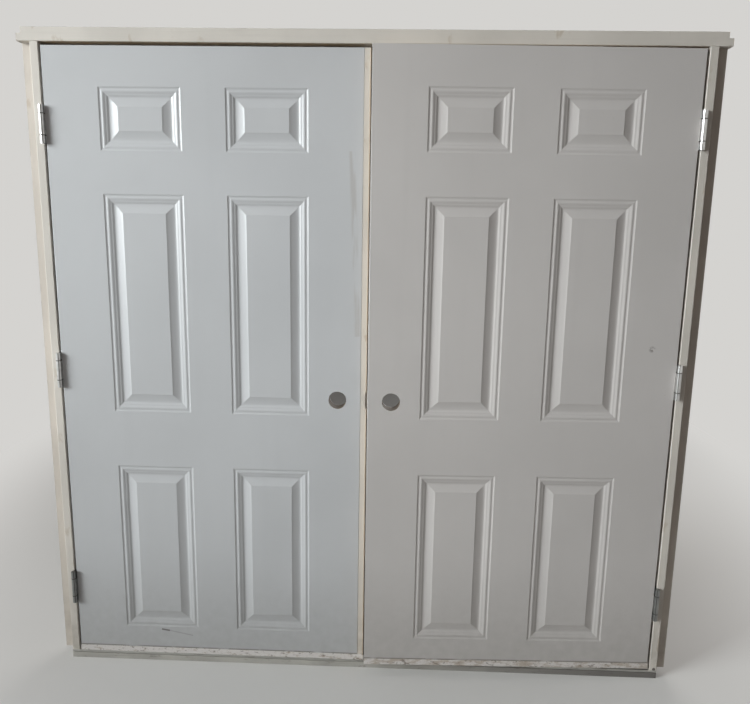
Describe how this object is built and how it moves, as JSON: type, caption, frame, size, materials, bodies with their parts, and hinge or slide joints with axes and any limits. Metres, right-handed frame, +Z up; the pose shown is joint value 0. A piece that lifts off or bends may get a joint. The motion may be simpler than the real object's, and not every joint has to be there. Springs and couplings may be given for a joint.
{
  "type": "prehung double panel door",
  "caption": "Pair of panelled steel-faced entry doors hung in a primed timber frame, with butt hinges, bored lock holes and a low sill.",
  "frame": {"origin": "middle of the sill's underside, halfway through the frame's depth", "axes": "+X along the opening to the viewer's right, +Y from the hinge side to the back, +Z up"},
  "size_m": [1.97, 0.1467, 1.9445],
  "materials": {
    "leaf_primer": "light grey primer, satin, lightly scuffed",
    "frame_primer": "cream primer, matte",
    "strip_primer": "pale primer, matte",
    "leaf_cap": "tan, worn and flecked",
    "hinge_metal": "bright zinc plate",
    "threshold_metal": "dull mill finish",
    "sill_timber": "dull grey",
    "seal": "matte",
    "leaf_timber": "bare pine",
    "foam": "rigid foam"
  },
  "bodies": {
    "frame": {"head_jamb": "frame_primer", "head_nailing_strip": "frame_primer", "head_weatherstrip": "seal", "left_bottom_hinge_jamb_plate": "hinge_metal", "left_bottom_hinge_pin": "hinge_metal", "left_jamb": "frame_primer", "left_middle_hinge_jamb_plate": "hinge_metal", "left_middle_hinge_pin": "hinge_metal", "left_nailing_strip": "frame_primer", "left_top_hinge_jamb_plate": "hinge_metal", "left_top_hinge_pin": "hinge_metal", "left_weatherstrip": "seal", "right_bottom_hinge_jamb_plate": "hinge_metal", "right_bottom_hinge_pin": "hinge_metal", "right_jamb": "frame_primer", "right_middle_hinge_jamb_plate": "hinge_metal", "right_middle_hinge_pin": "hinge_metal", "right_nailing_strip": "frame_primer", "right_top_hinge_jamb_plate": "hinge_metal", "right_top_hinge_pin": "hinge_metal", "right_weatherstrip": "seal", "sill_base": "sill_timber", "threshold": "threshold_metal", "threshold_seal": "seal"},
    "left_leaf": {"left_leaf_astragal": "strip_primer", "left_leaf_astragal_seal": "seal", "left_leaf_bottom_cap": "leaf_cap", "left_leaf_bottom_hinge_plate": "hinge_metal", "left_leaf_bottom_rail": "leaf_timber", "left_leaf_foam_core": "foam", "left_leaf_front_skin": "leaf_primer", "left_leaf_hinge_stile": "leaf_timber", "left_leaf_lock_block": "leaf_timber", "left_leaf_lock_stile": "leaf_timber", "left_leaf_middle_hinge_plate": "hinge_metal", "left_leaf_rear_skin": "leaf_primer", "left_leaf_top_hinge_plate": "hinge_metal", "left_leaf_top_rail": "leaf_timber"},
    "right_leaf": {"right_leaf_bottom_cap": "leaf_cap", "right_leaf_bottom_hinge_plate": "hinge_metal", "right_leaf_bottom_rail": "leaf_timber", "right_leaf_foam_core": "foam", "right_leaf_front_skin": "leaf_primer", "right_leaf_hinge_stile": "leaf_timber", "right_leaf_lock_block": "leaf_timber", "right_leaf_lock_stile": "leaf_timber", "right_leaf_middle_hinge_plate": "hinge_metal", "right_leaf_rear_skin": "leaf_primer", "right_leaf_top_hinge_plate": "hinge_metal", "right_leaf_top_rail": "leaf_timber"}
  },
  "joints": [
    {"name": "left_leaf_hinge", "type": "hinge", "parent": "frame", "child": "left_leaf", "pos_m": [-0.9248, -0.0666, 0.95], "axis": [0, 0, -1], "range_deg": [0, 175]},
    {"name": "right_leaf_hinge", "type": "hinge", "parent": "frame", "child": "right_leaf", "pos_m": [0.9248, -0.0666, 0.95], "axis": [0, 0, 1], "range_deg": [-1.8, 173.2]}
  ]
}
